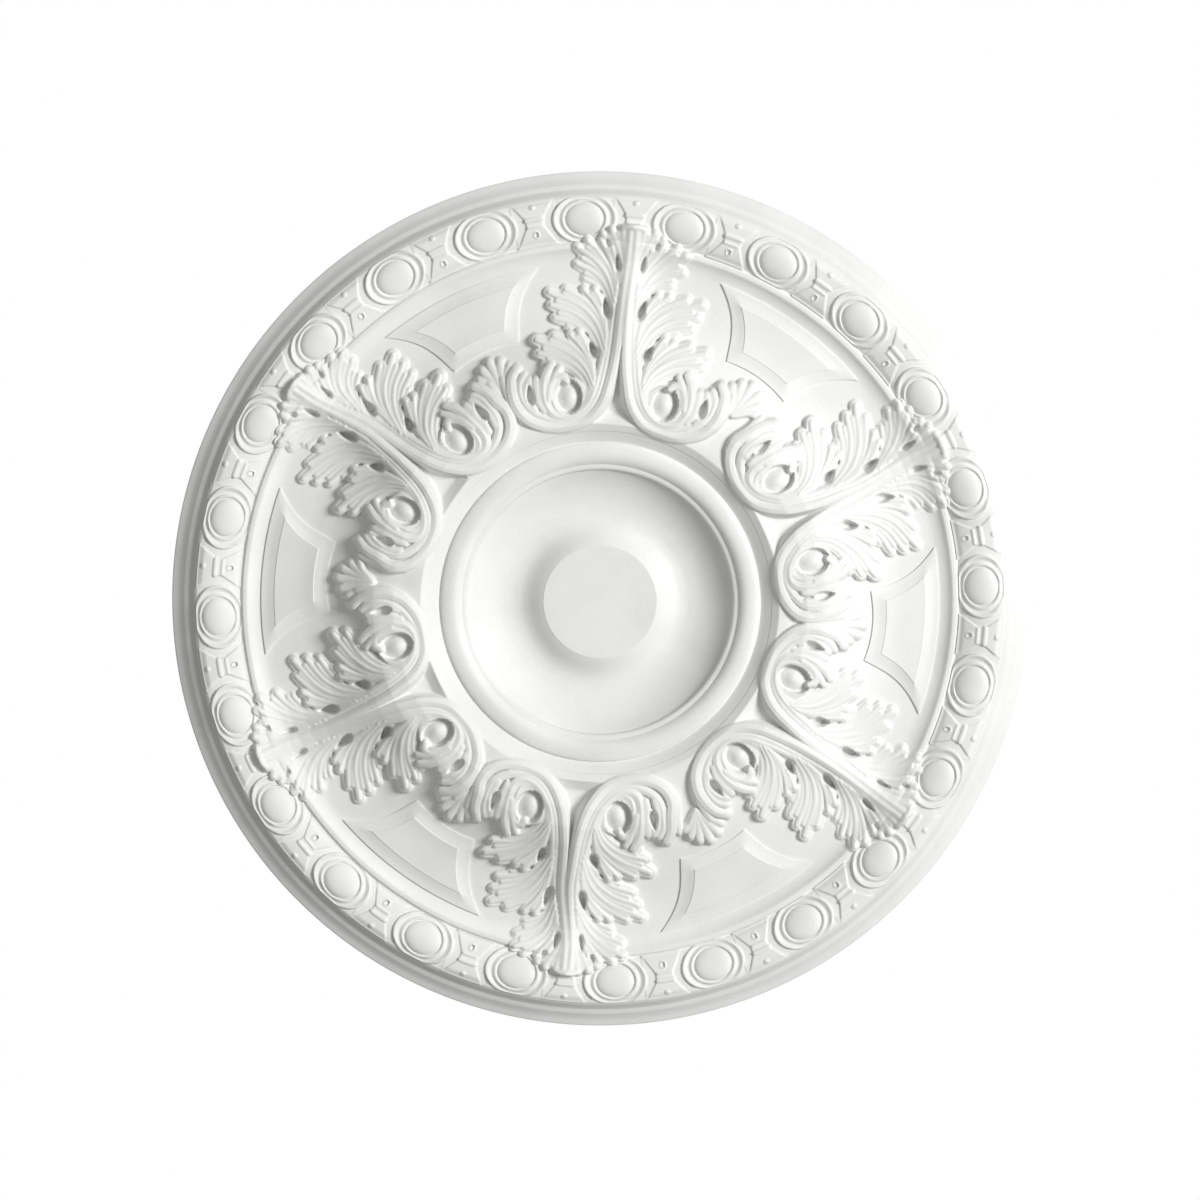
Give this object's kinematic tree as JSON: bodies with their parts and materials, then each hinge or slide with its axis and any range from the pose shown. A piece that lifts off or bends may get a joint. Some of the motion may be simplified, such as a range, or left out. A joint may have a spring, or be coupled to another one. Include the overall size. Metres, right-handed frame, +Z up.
{
  "type": "ceiling rose",
  "caption": "Round moulded ceiling rose with a dished centre, acanthus leaves and scrolls round it, sunk panels and an egg-and-dart border. Its flat back is glued or screwed to a ceiling.",
  "frame": {"origin": "centre of the flat back, on the plane that lies against the ceiling", "axes": "+Z up into the ceiling, with the ornament hanging below; +X out along the axis of one leaf"},
  "size_m": [0.73, 0.73, 0.0551],
  "materials": {
    "casting": "white primed rigid foam casting, matt with a faint sheen"
  },
  "bodies": {
    "root": {"ceiling_rose": "casting"}
  },
  "joints": []
}
